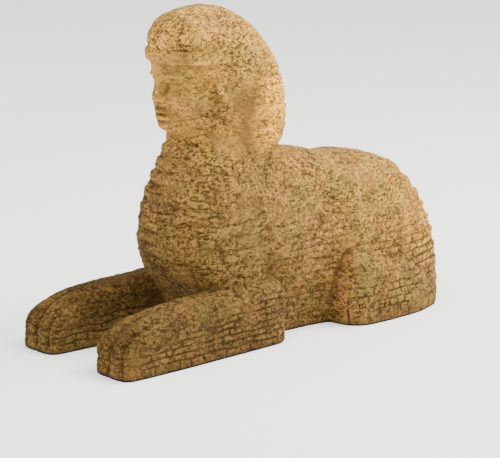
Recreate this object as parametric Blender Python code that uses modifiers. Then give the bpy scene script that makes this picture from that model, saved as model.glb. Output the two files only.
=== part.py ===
"""Lying sphinx statuette: a lion's body with a head in a pleated headcloth, cast in one piece in
stone-filled resin, on a thin pad of black felt that is cut to its footprint. Metres, +Z up, the
face towards -Y, the origin on the ground under the middle of the object."""

import math

import bmesh
import bpy
import numpy as np
from mathutils import Matrix, Vector, noise

# Driving dimensions of the whole object
LENGTH = 0.17145
WIDTH = 0.0635
HEIGHT = 0.12065

# The felt pad and how it sits under the casting
FELT_THICKNESS = 0.0006
FELT_INSET = 0.0004
TOUCHING_GAP = 0.0003

# The stone's layers of uneven height, worn into level grooves that waver
LAYER_SPACING = 0.0052
LAYER_UNEVENNESS = 0.0024
LAYER_DEPTH = 0.0011
LAYER_WAVER = 0.0016
WAVER_SPAN = 0.035

# The headcloth's pleats
PLEAT_SPACING = 0.0036
PLEAT_DEPTH = 0.0004

# How finely the form is worked, and how many facets the casting keeps before it is sawn
GRAIN = 0.0007
CASTING_FACETS = 9000
SMOOTHING_PASSES = 3

# The roughed-out form runs this far below the underside before the underside is sawn flat
SAWN_OFF = 0.004

COLLECTION = "sphinx_statuette"
UNDERSIDE = FELT_THICKNESS + TOUCHING_GAP
BELOW = -100 * SAWN_OFF / HEIGHT

# Places on the figure are in hundredths: x of half the width, y of half the length from the middle
# towards the tail, z of the height. Reaches along x, y and z are in the same hundredths.

# Across the chest and loins, towards the tail: y, top, half width, half width at the ground
TRUNK = (
    (-39.7, 41.4, 53.3, 41.4),
    (-23.3, 53.0, 65.1, 44.2),
    (-9.3, 55.5, 67.7, 47.0),
    (2.3, 55.6, 66.7, 47.0),
    (14.0, 54.9, 66.3, 47.0),
    (25.7, 53.2, 67.7, 50.3),
    (37.3, 51.0, 69.6, 60.2),
    (49.0, 49.6, 68.6, 65.8),
)

# Round the rump, upwards: z, front, rear, half width
RUMP_WIDEST = 43.0
RUMP = (
    (BELOW, 26.0, 100.0, 81.8),
    (12.4, 24.0, 99.0, 79.4),
    (20.7, 19.0, 96.8, 77.1),
    (27.4, 12.0, 93.2, 75.2),
    (34.0, 5.0, 87.8, 72.8),
    (38.5, 0.0, 82.8, 70.0),
    (42.5, -4.0, 77.8, 65.3),
    (46.0, -8.0, 71.5, 57.3),
    (49.0, -12.0, 62.0, 45.1),
    (50.8, -16.0, 50.0, 28.2),
)

# Round the breast and neck, upwards: z, front, rear, half width
BREAST = (
    (BELOW, -40.8, -10.5, 75.2),
    (6.6, -42.0, -10.5, 75.7),
    (13.3, -44.9, -10.5, 76.1),
    (19.9, -51.0, -10.5, 76.1),
    (26.5, -55.0, -11.0, 74.7),
    (33.2, -56.0, -11.7, 72.4),
    (39.8, -54.6, -11.7, 69.1),
    (46.4, -51.9, -10.5, 64.9),
    (51.4, -49.4, -8.2, 59.7),
    (56.4, -46.8, -3.5, 54.0),
    (61.3, -44.9, 0.0, 47.8),
    (68.0, -41.5, 0.0, 41.8),
)

# Along the left foreleg, towards the elbow: y, middle in x, top, half width
FORELEG = (
    (-96.4, 68.6, 11.0, 30.8),
    (-94.6, 68.6, 12.8, 31.3),
    (-91.0, 68.6, 14.3, 31.4),
    (-86.3, 68.5, 15.5, 31.4),
    (-77.0, 68.2, 16.8, 31.0),
    (-65.3, 67.0, 17.6, 30.2),
    (-51.3, 65.2, 18.2, 29.2),
    (-35.0, 63.2, 19.2, 28.2),
    (-21.0, 61.4, 20.0, 27.2),
    (-12.8, 59.0, 19.4, 25.8),
    (-9.3, 55.0, 17.2, 20.5),
)

# Round the left paw, upwards: z, front, share of its width
PAW_MIDDLE = 68.6
PAW_HALF_WIDTH = 31.4
PAW_REAR = -72.0
PAW_SQUARENESS = 5.0
PAW = (
    (BELOW, -100.0, 1.0),
    (3.6, -100.0, 1.0),
    (7.0, -99.7, 0.99),
    (9.0, -98.9, 0.97),
    (10.4, -97.2, 0.93),
    (11.6, -94.6, 0.87),
    (12.6, -91.2, 0.78),
    (13.4, -86.5, 0.66),
)

# The grooves between a paw's toes: how many, how far apart, half width, depth, and where they die out
TOE_GROOVES = 3
TOE_PITCH = 0.0064
TOE_GROOVE_WIDTH = 0.0011
TOE_GROOVE_DEPTH = 0.0008
TOE_GROOVE_END = -72.0

# Round the left haunch, upwards: z, front, rear, half width about the haunch's own middle
HAUNCH_MIDDLE = 48.9
HAUNCH_WIDEST = 22.0
HAUNCH = (
    (BELOW, 24.5, 88.0, 44.7),
    (5.0, 23.5, 86.0, 45.1),
    (10.0, 23.0, 80.0, 45.1),
    (15.0, 24.0, 72.0, 43.2),
    (19.5, 26.0, 62.0, 36.7),
    (22.5, 29.0, 53.0, 26.3),
    (24.2, 33.0, 45.0, 13.2),
)

# Round the headcloth, upwards: z, front, rear, half width, where it is widest, squareness in front
HEADCLOTH = (
    (54.7, -37.3, -3.5, 48.4, 60, 1.6),
    (58.0, -38.5, 0.0, 58.3, 60, 1.4),
    (62.2, -39.7, 3.0, 64.4, 60, 1.25),
    (67.1, -44.3, 4.0, 68.1, 60, 1.15),
    (72.9, -47.8, 3.6, 70.0, 60, 1.15),
    (78.7, -51.3, 2.4, 69.0, 60, 1.25),
    (84.5, -53.7, -0.4, 65.3, 58, 1.5),
    (88.7, -54.4, -3.5, 59.8, 55, 1.9),
    (92.0, -54.2, -7.0, 53.8, 52, 2.2),
    (95.3, -52.4, -11.8, 45.7, 50, 2.2),
    (97.8, -48.6, -17.2, 35.2, 50, 2.2),
    (99.5, -42.4, -21.4, 24.4, 50, 2.2),
    (100.4, -37.2, -25.8, 12.2, 50, 2.2),
)

# Round the band over the brow, upwards: z, front, half width
BROW_BAND = (
    (84.6, -53.2, 56.4),
    (85.4, -54.4, 58.3),
    (87.6, -54.8, 57.8),
    (88.6, -54.2, 55.5),
)

# Round the face from under the chin to the band, upwards: z, front, half width
FACE_REAR = -20.0
FACE = (
    (63.0, -45.5, 16.9),
    (64.6, -50.0, 25.4),
    (67.0, -52.4, 31.0),
    (70.0, -53.0, 35.2),
    (73.5, -53.2, 39.0),
    (77.5, -52.9, 41.4),
    (81.0, -53.6, 42.1),
    (85.0, -53.8, 41.8),
    (88.0, -53.0, 40.4),
)

# Ears, as balls: middle, reach
EARS = ((46.5, -32.5, 77.1), (6.8, 4.2, 4.3))

# The face's features on plain thirds from chin to band: x, z, spread in x and z, height, in mm
FEATURES = (
    (0.0, 95.5, 1.5, 2.2, 1.5),
    (0.0, 92.5, 1.5, 2.2, 2.0),
    (0.0, 89.7, 1.9, 1.5, 2.8),
    (0.0, 86.4, 3.2, 0.8, -0.5),
    (0.0, 84.9, 3.4, 0.8, 1.2),
    (0.0, 82.8, 2.9, 0.9, 1.3),
    (0.0, 83.9, 4.2, 0.3, -0.5),
    (0.0, 79.3, 3.6, 1.6, 1.2),
)
PAIRED_FEATURES = (
    (2.4, 88.9, 1.0, 1.1, 1.4),
    (5.7, 94.4, 2.8, 1.9, -1.8),
    (5.7, 94.3, 1.8, 0.9, 1.5),
    (5.8, 97.7, 3.8, 0.9, 0.9),
    (7.8, 89.2, 2.5, 2.8, 0.7),
)


def place(x, y, z):
    return Vector((x * WIDTH / 200, y * LENGTH / 200, z * HEIGHT / 100))


def signed_power(value, power):
    return math.copysign(abs(value) ** power, value)


def arched_ring(x, y, top, half_width, foot_half_width, squareness, spring=0.5):
    """A ring across the figure at y: walls from the ground to a spring line, and an arch on them."""
    wall_steps, arch_steps = 6, 30
    spring_height = BELOW + (top - BELOW) * spring
    wall = []
    for i in range(wall_steps):
        share = i / wall_steps
        half = foot_half_width + (half_width - foot_half_width) * share
        wall.append((half, BELOW + (spring_height - BELOW) * share))
    arch = []
    for i in range(arch_steps + 1):
        turn = math.pi * i / arch_steps
        across = signed_power(math.cos(turn), 2 / squareness)
        rise = signed_power(math.sin(turn), 2 / squareness)
        arch.append((across * half_width, spring_height + (top - spring_height) * rise))
    outline = wall + arch + [(-half, z) for half, z in reversed(wall)]
    return [place(x + across, y, z) for across, z in outline]


def level_ring(z, x, front, rear, half_width, widest=50, front_squareness=3, rear_squareness=3):
    """A ring round the figure at height z. widest is a place in hundredths of its depth."""
    steps = 48
    middle = front + (rear - front) * widest / 100
    ring = []
    for i in range(steps):
        turn = 2 * math.pi * i / steps
        squareness = rear_squareness if math.sin(turn) > 0 else front_squareness
        across = signed_power(math.cos(turn), 2 / squareness)
        along = signed_power(math.sin(turn), 2 / squareness)
        reach = rear - middle if along > 0 else middle - front
        ring.append(place(x + across * half_width, middle + along * reach, z))
    return ring


def add_loft(shape, rings):
    """Skins rings of as many points each, in order, and closes both ends."""
    rows = [[shape.verts.new(p) for p in ring] for ring in rings]
    count = len(rows[0])
    for row, following in zip(rows, rows[1:]):
        for i in range(count):
            j = (i + 1) % count
            shape.faces.new((row[i], row[j], following[j], following[i]))
    shape.faces.new(list(reversed(rows[0])))
    shape.faces.new(rows[-1])


def add_ball(shape, centre, reach):
    """An ellipsoid with its middle and reaches in the figure's hundredths."""
    matrix = Matrix.Translation(place(*centre)) @ Matrix.Diagonal((*place(*reach), 1))
    bmesh.ops.create_icosphere(shape, subdivisions=4, radius=1, matrix=matrix)


def add_trunk(shape):
    add_loft(shape, [arched_ring(0, y, top, half, foot, 2.4) for y, top, half, foot in TRUNK])
    rump = []
    for z, front, rear, half in RUMP:
        widest = 100 * (RUMP_WIDEST - front) / (rear - front)
        rump.append(level_ring(z, 0, front, rear, half, widest, 2.3, 2.3))
    add_loft(shape, rump)
    breast = [level_ring(z, 0, front, rear, half, 50, 2.5, 3) for z, front, rear, half in BREAST]
    add_loft(shape, breast)


def add_foreleg(shape, side):
    legs = [arched_ring(side * x, y, top, half, half, 3.1) for y, x, top, half in FORELEG]
    add_loft(shape, legs)
    paw = []
    for z, front, share in PAW:
        half = PAW_HALF_WIDTH * share
        paw.append(level_ring(z, side * PAW_MIDDLE, front, PAW_REAR, half, 50, PAW_SQUARENESS))
    add_loft(shape, paw)


def add_haunch(shape, side):
    rings = []
    for z, front, rear, half in HAUNCH:
        rings.append(level_ring(z, side * HAUNCH_MIDDLE, front, rear, half, HAUNCH_WIDEST, 2.6, 2.3))
    add_loft(shape, rings)


def add_head(shape):
    cloth = []
    for z, front, rear, half, widest, squareness in HEADCLOTH:
        cloth.append(level_ring(z, 0, front, rear, half, widest, squareness, 2.3))
    add_loft(shape, cloth)
    band = [level_ring(z, 0, front, -15, half, 60, 2.2, 2) for z, front, half in BROW_BAND]
    add_loft(shape, band)
    face = [level_ring(z, 0, front, FACE_REAR, half, 70, 2.3, 2) for z, front, half in FACE]
    add_loft(shape, face)
    (x, y, z), reach = EARS
    for side in (1, -1):
        add_ball(shape, (side * x, y, z), reach)


def applied(form):
    """The object with its modifiers made part of its mesh."""
    evaluated = form.evaluated_get(bpy.context.evaluated_depsgraph_get())
    old = form.data
    form.data = bpy.data.meshes.new_from_object(evaluated)
    form.modifiers.clear()
    bpy.data.meshes.remove(old)
    return form


def read_points(mesh, what):
    flat = np.empty(3 * len(mesh.vertices), dtype=np.float32)
    mesh.vertices.foreach_get(what, flat)
    return flat.reshape(-1, 3).astype(np.float64)


def write_points(mesh, points):
    mesh.vertices.foreach_set("co", points.astype(np.float32).ravel())
    mesh.update()


def joined_form(name, shape):
    """The rough shapes as one closed skin, worked at the grain and rubbed smooth."""
    bmesh.ops.recalc_face_normals(shape, faces=shape.faces)
    mesh = bpy.data.meshes.new(name)
    shape.to_mesh(mesh)
    shape.free()
    form = bpy.data.objects.new(name, mesh)
    bpy.context.scene.collection.objects.link(form)
    remesh = form.modifiers.new("one_skin", "REMESH")
    remesh.mode = "VOXEL"
    remesh.voxel_size = GRAIN
    smooth = form.modifiers.new("rubbed", "SMOOTH")
    smooth.factor = 0.5
    smooth.iterations = SMOOTHING_PASSES
    return applied(form)


def ramp(values, low, high):
    """0 up to low, 1 from high on, and straight between them."""
    return np.clip((values - low) / (high - low), 0, 1)


def mound(values, middle, spread):
    return np.exp(-(((values - middle) / spread) ** 2))


def model_face(form):
    """Raises and sinks the face's features along its looking direction."""
    points = read_points(form.data, "co")
    x, y, z = points.T * 1000
    front_only = ramp(-points[:, 1] * 200 / LENGTH, 36, 44)
    raised = np.zeros(len(points))
    for middle, level, spread_x, spread_z, height in FEATURES:
        raised += height * mound(x, middle, spread_x) * mound(z, level, spread_z)
    for middle, level, spread_x, spread_z, height in PAIRED_FEATURES:
        raised += height * mound(np.abs(x), middle, spread_x) * mound(z, level, spread_z)
    points[:, 1] -= raised * front_only / 1000
    write_points(form.data, points)


def carve_toes(form):
    """Wears grooves between the toes, up the front of each paw and a little way back over it."""
    points = read_points(form.data, "co")
    normals = read_points(form.data, "normal")
    x = np.abs(points[:, 0]) - PAW_MIDDLE * WIDTH / 200
    y = points[:, 1] * 200 / LENGTH
    strength = ramp(-y, -TOE_GROOVE_END, -TOE_GROOVE_END + 22) * ramp(points[:, 2], 0, 0.003)
    depth = np.zeros(len(points))
    for i in range(TOE_GROOVES):
        offset = (i - (TOE_GROOVES - 1) / 2) * TOE_PITCH
        depth += TOE_GROOVE_DEPTH * mound(x, offset, TOE_GROOVE_WIDTH)
    write_points(form.data, points - normals * (depth * strength)[:, None])


def layer_strength(points):
    """How strongly the stone's layers stand out: most on the breast's right side and the rump."""
    y = points[:, 1] * 200 / LENGTH
    z = points[:, 2] * 100 / HEIGHT
    breast = ramp(-y, 22, 34) * ramp(z, 17, 25) * (1 - ramp(z, 61, 64))
    breast *= 1 - 0.5 * ramp(points[:, 0] * 200 / WIDTH, -15, 30)
    rump = 0.7 * ramp(y, 60, 78)
    return np.maximum(np.maximum(breast, rump), 0.2 * (1 - ramp(z, 55, 60)))


def carve_layers(form):
    """Wears uneven level grooves between the stone's layers, and pleats into the headcloth."""
    points = read_points(form.data, "co")
    normals = read_points(form.data, "normal")
    waver = np.array([noise.noise(Vector(p) / WAVER_SPAN) for p in points])
    wear = np.array([noise.noise(Vector(p) / (WAVER_SPAN / 3)) for p in points])
    upright = np.sqrt(1 - np.clip(np.abs(normals[:, 2]), 0, 1) ** 2)
    uneven = np.array([noise.noise(Vector((0, 0, p[2])) / (2 * LAYER_SPACING)) for p in points])
    level = (points[:, 2] + waver * LAYER_WAVER + uneven * LAYER_UNEVENNESS) / LAYER_SPACING
    grooves = (1 - np.abs(np.sin(np.pi * level))) ** 1.5 * (0.3 + ramp(wear, -0.2, 0.3))
    depth = LAYER_DEPTH * grooves * layer_strength(points)
    y = points[:, 1] * 200 / LENGTH
    z = points[:, 2] * 100 / HEIGHT
    on_cloth = ramp(y, -21, -14) * ramp(z, 60, 63) * (1 - ramp(z, 88, 92))
    pleats = 0.5 + 0.5 * np.cos(2 * np.pi * points[:, 2] / PLEAT_SPACING)
    depth += PLEAT_DEPTH * pleats * on_cloth
    write_points(form.data, points - normals * (depth * upright)[:, None])


def brought_to_size(form):
    """Takes up what the smoothing and the facets rubbed off, so that the form fills its size."""
    points = read_points(form.data, "co")
    kept = points[points[:, 2] > UNDERSIDE]
    low, high = kept.min(axis=0), kept.max(axis=0)
    points[:, 0] = (points[:, 0] - (low[0] + high[0]) / 2) * WIDTH / (high[0] - low[0])
    points[:, 1] = (points[:, 1] - (low[1] + high[1]) / 2) * LENGTH / (high[1] - low[1])
    above = points[:, 2] > 0
    points[above, 2] *= HEIGHT / high[2]
    write_points(form.data, points)


def reduced(form, facets):
    """The form with about that many triangles."""
    decimate = form.modifiers.new("facets", "DECIMATE")
    decimate.ratio = facets / (2 * len(form.data.polygons))
    return applied(form)


def cut_level(shape, height, keep_above):
    """Cuts the shape level at the height, closes the cut, and keeps one side."""
    everything = shape.verts[:] + shape.edges[:] + shape.faces[:]
    cut = bmesh.ops.bisect_plane(
        shape,
        geom=everything,
        plane_co=(0, 0, height),
        plane_no=(0, 0, 1),
        clear_inner=keep_above,
        clear_outer=not keep_above,
    )
    edges = [e for e in cut["geom_cut"] if isinstance(e, bmesh.types.BMEdge)]
    bmesh.ops.contextual_create(shape, geom=edges)


def sawn_flat(form):
    """The form with its underside sawn level."""
    shape = bmesh.new()
    shape.from_mesh(form.data)
    cut_level(shape, UNDERSIDE, True)
    bmesh.ops.triangulate(shape, faces=shape.faces)
    bmesh.ops.recalc_face_normals(shape, faces=shape.faces)
    shape.to_mesh(form.data)
    shape.free()
    return form


def unfold(shape, faced):
    """Swap the longest edge of each narrow face that has turned over since it faced that way."""
    shape.normal_update()
    turned = [face for face, way in zip(shape.faces, faced) if face.normal.dot(way) < 0]
    longest = dict.fromkeys(max(face.edges, key=lambda edge: edge.calc_length()) for face in turned)
    for edge in longest:
        bmesh.ops.rotate_edges(shape, edges=[edge])


def felt_from(form):
    """A thin slice of the form, a little smaller all round, laid on the ground."""
    felt = bpy.data.objects.new("felt_pad", form.data.copy())
    bpy.context.scene.collection.objects.link(felt)
    points = read_points(felt.data, "co")
    normals = read_points(felt.data, "normal")
    shape = bmesh.new()
    shape.from_mesh(felt.data)
    faced = [face.normal.copy() for face in shape.faces]
    for vertex, point in zip(shape.verts, points - normals * FELT_INSET):
        vertex.co = point
    unfold(shape, faced)
    cut_level(shape, UNDERSIDE, True)
    cut_level(shape, UNDERSIDE + FELT_THICKNESS, False)
    for vertex in shape.verts:
        vertex.co.z -= UNDERSIDE
    bmesh.ops.triangulate(shape, faces=shape.faces)
    bmesh.ops.recalc_face_normals(shape, faces=shape.faces)
    shape.to_mesh(felt.data)
    shape.free()
    return felt


def painted(name, colour, roughness):
    material = bpy.data.materials.new(name)
    material.use_nodes = True
    shader = material.node_tree.nodes["Principled BSDF"]
    shader.inputs["Base Color"].default_value = (*colour, 1)
    shader.inputs["Roughness"].default_value = roughness
    shader.inputs["Metallic"].default_value = 0
    return material


def stone_filled_resin():
    return painted("stone_filled_resin", (0.4, 0.24, 0.1), 0.85)


def black_felt():
    return painted("black_felt", (0.012, 0.011, 0.01), 0.95)


def file_under(collection, obj, material):
    for other in list(obj.users_collection):
        other.objects.unlink(obj)
    collection.objects.link(obj)
    obj.data.materials.clear()
    obj.data.materials.append(material)


def main():
    for obj in list(bpy.data.objects):
        bpy.data.objects.remove(obj)
    shape = bmesh.new()
    add_trunk(shape)
    add_head(shape)
    for side in (1, -1):
        add_foreleg(shape, side)
        add_haunch(shape, side)
    casting = joined_form("sphinx_casting", shape)
    model_face(casting)
    carve_toes(casting)
    carve_layers(casting)
    reduced(casting, CASTING_FACETS)
    brought_to_size(casting)
    felt = felt_from(casting)
    sawn_flat(casting)
    collection = bpy.data.collections.new(COLLECTION)
    bpy.context.scene.collection.children.link(collection)
    file_under(collection, casting, stone_filled_resin())
    file_under(collection, felt, black_felt())


main()
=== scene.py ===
"""Looks of a lying sphinx statuette: cast stone-filled resin with a brown wash, on black felt.

Laid out as an add-on and run as a script. The frame's two pieces give every size and place."""

import math
from functools import partial

import bmesh
import bpy
import numpy as np
from mathutils import Matrix, Vector, noise


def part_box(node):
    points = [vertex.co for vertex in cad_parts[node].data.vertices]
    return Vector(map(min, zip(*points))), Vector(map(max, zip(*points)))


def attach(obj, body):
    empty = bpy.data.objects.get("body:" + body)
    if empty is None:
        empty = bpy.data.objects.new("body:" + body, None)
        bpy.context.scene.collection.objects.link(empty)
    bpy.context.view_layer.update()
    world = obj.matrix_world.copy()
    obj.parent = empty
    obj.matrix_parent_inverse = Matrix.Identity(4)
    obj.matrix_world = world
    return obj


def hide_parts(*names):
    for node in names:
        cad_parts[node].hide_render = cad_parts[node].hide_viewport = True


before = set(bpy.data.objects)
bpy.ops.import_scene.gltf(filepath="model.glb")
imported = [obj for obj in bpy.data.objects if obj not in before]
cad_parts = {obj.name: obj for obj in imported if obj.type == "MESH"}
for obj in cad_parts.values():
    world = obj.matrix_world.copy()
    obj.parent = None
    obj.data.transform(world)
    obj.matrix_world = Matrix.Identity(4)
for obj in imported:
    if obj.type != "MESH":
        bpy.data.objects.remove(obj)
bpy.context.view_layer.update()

bl_info = {
    "name": "Sphinx Statuette Finish",
    "version": (1, 0, 0),
    "blender": (4, 5, 0),
    "location": "3D View > Sidebar > Sphinx",
    "description": "Carves and colours a cast sphinx statuette and its felt pad",
    "category": "Object",
}

MM = 0.001
CASTING_LOW, CASTING_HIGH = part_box("sphinx_casting")
FELT_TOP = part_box("felt_pad")[1].z
WIDTH = CASTING_HIGH.x - CASTING_LOW.x
LENGTH = CASTING_HIGH.y - CASTING_LOW.y
HEIGHT = CASTING_HIGH.z
UNDERSIDE = CASTING_LOW.z

# The roughed-out form runs this far below the underside before the underside is sawn flat
SAWN_OFF = 4 * MM
BELOW = -100 * SAWN_OFF / HEIGHT

# How often the worked form is rubbed smooth, and the seam left over the felt
SMOOTHING_PASSES = 6
SEAM = 0.02 * MM

# Courses of blocks in mm: height of the lowest course, height of the others, length of a block
LEG_COURSES = (3.6, 2.2, 5.6)
INNER_COURSES = (3.6, 2.6, 15.0)
PAW_COURSES = (3.4, 2.4, 11.0)
FLANK_COURSES = (3.0, 2.6, 4.4)
HAUNCH_COURSES = (5.6, 2.9, 4.0)
CORNER_COURSES = (13.0, 3.0, 3.6)

# How far each course is shifted along, in blocks, against the one below
ROW_SHIFT = 0.618

# How far single blocks stand out or in, how far apart the pits lie, and the rough lumps, in mm: size, seed
BLOCK_UNEVENNESS = 0.4
PIT_SPACING = 3.1
ROUGH_LUMPS = ((3.1, 55), (1.5, 56))

# Short and long cracks, in mm: depth, size of their net along x, y and z, share of it that they
# open, seed, size of the patches that have them, where a patch is fully cracked, seed
CRACKS = (
    (0.5, (8, 8, 1.9), 0.12, 53, 6, 0.35, 54),
    (0.7, (15, 15, 3.1), 0.1, 51, 9, 0.3, 52),
)

# Places on the figure are in hundredths: x of half the width, y of half the length from the middle
# towards the tail, z of the height. Reaches along x, y and z are in the same hundredths.

# Across the chest and loins, towards the tail: y, top, half width, half width at the ground
TRUNK = (
    (-39.7, 41.4, 53.3, 41.4),
    (-23.3, 53.0, 65.1, 44.2),
    (-9.3, 55.5, 67.7, 47.0),
    (2.3, 55.6, 66.7, 47.0),
    (14.0, 54.9, 66.3, 47.0),
    (25.7, 53.2, 67.7, 50.3),
    (37.3, 51.0, 69.6, 60.2),
    (49.0, 49.6, 68.6, 65.8),
)

# Round the rump, upwards: z, front, rear, half width
RUMP_WIDEST = 43.0
RUMP = (
    (BELOW, 26.0, 100.0, 81.8),
    (12.4, 24.0, 99.0, 79.4),
    (20.7, 19.0, 96.8, 77.1),
    (27.4, 12.0, 93.2, 75.2),
    (34.0, 5.0, 87.8, 72.8),
    (38.5, 0.0, 82.8, 70.0),
    (42.5, -4.0, 77.8, 65.3),
    (46.0, -8.0, 71.5, 57.3),
    (49.0, -12.0, 62.0, 45.1),
    (50.8, -16.0, 50.0, 28.2),
)

# Round the breast and neck, upwards: z, front, rear, half width
BREAST = (
    (BELOW, -40.8, -10.5, 75.2),
    (6.6, -42.0, -10.5, 75.7),
    (13.3, -44.9, -10.5, 76.1),
    (19.9, -51.0, -10.5, 76.1),
    (26.5, -55.0, -11.0, 74.7),
    (33.2, -56.0, -11.7, 72.4),
    (39.8, -54.6, -11.7, 69.1),
    (46.4, -51.9, -10.5, 64.9),
    (51.4, -49.4, -8.2, 59.7),
    (56.4, -46.8, -3.5, 54.0),
    (61.3, -44.9, 0.0, 47.8),
    (68.0, -41.5, 0.0, 41.8),
)

# Along the left foreleg, towards the elbow: y, middle in x, top, half width
FORELEG = (
    (-96.4, 68.6, 11.0, 30.8),
    (-94.6, 68.6, 12.8, 31.3),
    (-91.0, 68.6, 14.3, 31.4),
    (-86.3, 68.5, 15.5, 31.4),
    (-77.0, 68.2, 16.8, 31.0),
    (-65.3, 67.0, 17.6, 30.2),
    (-51.3, 65.2, 18.2, 29.2),
    (-35.0, 63.2, 19.2, 28.2),
    (-21.0, 61.4, 20.0, 27.2),
    (-12.8, 59.0, 19.4, 25.8),
    (-9.3, 55.0, 17.2, 20.5),
)

# Round the left paw, upwards: z, front, share of its width
PAW_MIDDLE = 68.6
PAW_HALF_WIDTH = 31.4
PAW_REAR = -72.0
PAW_SQUARENESS = 5.0
PAW = (
    (BELOW, -100.0, 1.0),
    (3.6, -100.0, 1.0),
    (7.0, -99.7, 0.99),
    (9.0, -98.9, 0.97),
    (10.4, -97.2, 0.93),
    (11.6, -94.6, 0.87),
    (12.6, -91.2, 0.78),
    (13.4, -86.5, 0.66),
)

# The grooves between a paw's toes: how many, how far apart, half width, depth, and the places in y
# where they have their full depth and where they die out
TOE_GROOVES = 3
TOE_PITCH = 0.0064
TOE_GROOVE_WIDTH = 0.0011
TOE_GROOVE_DEPTH = 0.0008
TOE_GROOVE_FULL = -94.0
TOE_GROOVE_END = -72.0
TOE_GROOVE_PLACES = [(i - (TOE_GROOVES - 1) / 2) * TOE_PITCH for i in range(TOE_GROOVES)]

# Round the left haunch, upwards: z, front, rear, half width about the haunch's own middle
HAUNCH_MIDDLE = 48.9
HAUNCH_WIDEST = 22.0
HAUNCH = (
    (BELOW, 24.5, 88.0, 44.7),
    (5.0, 23.5, 86.0, 45.1),
    (10.0, 23.0, 80.0, 45.1),
    (15.0, 24.0, 72.0, 43.2),
    (19.5, 26.0, 62.0, 36.7),
    (22.5, 29.0, 53.0, 26.3),
    (24.2, 33.0, 45.0, 13.2),
)

# Round the headcloth, upwards: z, front, rear, half width, where it is widest, squareness in front
HEADCLOTH = (
    (54.7, -37.3, -3.5, 48.4, 60, 1.6),
    (58.0, -38.5, 0.0, 58.3, 60, 1.4),
    (62.2, -39.7, 3.0, 64.4, 60, 1.25),
    (67.1, -44.3, 4.0, 68.1, 60, 1.15),
    (72.9, -47.8, 3.6, 70.0, 60, 1.15),
    (78.7, -51.3, 2.4, 69.0, 60, 1.25),
    (84.5, -53.7, -0.4, 65.3, 58, 1.5),
    (88.7, -54.4, -3.5, 59.8, 55, 1.9),
    (92.0, -54.2, -7.0, 53.8, 52, 2.2),
    (95.3, -52.4, -11.8, 45.7, 50, 2.2),
    (97.8, -48.6, -17.2, 35.2, 50, 2.2),
    (99.5, -42.4, -21.4, 24.4, 50, 2.2),
    (100.4, -37.2, -25.8, 12.2, 50, 2.2),
)

# Round the band over the brow, upwards: z, front, half width
BROW_BAND = (
    (84.6, -53.2, 56.4),
    (85.4, -54.4, 58.3),
    (87.6, -54.8, 57.8),
    (88.6, -54.2, 55.5),
)

# Round the face from under the chin to the band, upwards: z, front, half width
FACE_REAR = -20.0
FACE = (
    (63.0, -45.5, 16.9),
    (64.6, -50.0, 25.4),
    (67.0, -52.4, 31.0),
    (70.0, -53.0, 35.2),
    (73.5, -53.2, 39.0),
    (77.5, -52.9, 41.4),
    (81.0, -53.6, 42.1),
    (85.0, -53.8, 41.8),
    (88.0, -53.0, 40.4),
)

# Ears, as balls: middle, reach
EARS = ((46.5, -32.5, 77.1), (6.8, 4.2, 4.3))

# The face's features on plain thirds from chin to band: x, z, spread in x and z, height, in mm
FEATURES = (
    (0.0, 95.5, 1.5, 2.2, 1.5),
    (0.0, 92.5, 1.5, 2.2, 2.0),
    (0.0, 89.7, 1.9, 1.5, 2.8),
    (0.0, 86.4, 3.2, 0.8, -0.5),
    (0.0, 84.9, 3.4, 0.8, 1.2),
    (0.0, 82.8, 2.9, 0.9, 1.3),
    (0.0, 83.9, 4.2, 0.3, -0.5),
    (0.0, 79.3, 3.6, 1.6, 1.2),
)
PAIRED_FEATURES = (
    (2.4, 88.9, 1.0, 1.1, 1.4),
    (5.7, 94.4, 2.8, 1.9, -1.8),
    (5.7, 94.3, 1.8, 0.9, 1.5),
    (5.8, 97.7, 3.8, 0.9, 0.9),
    (7.8, 89.2, 2.5, 2.8, 0.7),
)

# Lids, nostrils and lips, finer than the solid's: the same columns
FINE_FEATURES = (
    (0.0, 88.0, 2.6, 0.6, -0.8),
    (0.0, 85.1, 3.0, 0.6, 0.5),
    (0.0, 84.0, 3.9, 0.4, -0.7),
    (0.0, 82.8, 2.6, 0.6, 0.5),
    (0.0, 81.3, 3.0, 0.6, -0.6),
)
PAIRED_FINE_FEATURES = (
    (2.0, 89.5, 0.8, 0.8, 0.7),
    (3.0, 93.0, 0.9, 2.4, -0.6),
    (5.9, 96.5, 2.9, 0.45, -0.5),
    (5.9, 95.5, 2.7, 0.5, 0.6),
    (5.9, 92.9, 2.4, 0.45, 0.45),
)

# What the carving stores on the casting for its colours
CARVED = ("course", "along", "course_height", "block_length", "masonry", "polish", "rim")
HOLLOWS = ("sunk", "raised", "creased")

# How deep in mm a small hollow and a wide crease are when they count in full, and the steps between
FULL_HOLLOW = 0.16
FULL_CREASE = 0.45
CREASE_STEPS = 24

# Clouds of noise in the stone: size in mm, detail, roughness, place in the noise, flattening, bend
CLOUDS = {
    "drift": (24, 2, 0.5, 0.0, 1.0, 0.0),
    "pink": (14, 3, 0.5, 0.3, 1.0, 0.0),
    "green": (12, 3, 0.5, 0.6, 1.0, 0.0),
    "light": (5, 3, 0.6, 6.1, 1.0, 0.0),
    "dull": (8, 3, 0.6, 7.7, 1.0, 0.0),
    "filled": (4, 1, 0.5, 3.3, 1.0, 0.0),
    "ragged": (1.1, 2, 0.5, 0.9, 1.0, 0.0),
    "kept_joints": (4.5, 2, 0.5, 1.2, 1.0, 0.0),
    "grain": (1.1, 3, 0.65, 0.0, 1.0, 0.0),
    "pits": (10, 2, 0.5, 4.1, 1.0, 0.0),
    "dents": (1.5, 3, 0.65, 0.4, 1.6, 0.6),
    "cracks": (3.6, 4, 0.6, 1.7, 4.5, 0.3),
    "crack_patches": (9, 2, 0.5, 2.3, 1.0, 0.0),
    "specks": (0.8, 2, 0.5, 2.9, 1.0, 0.0),
}

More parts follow.
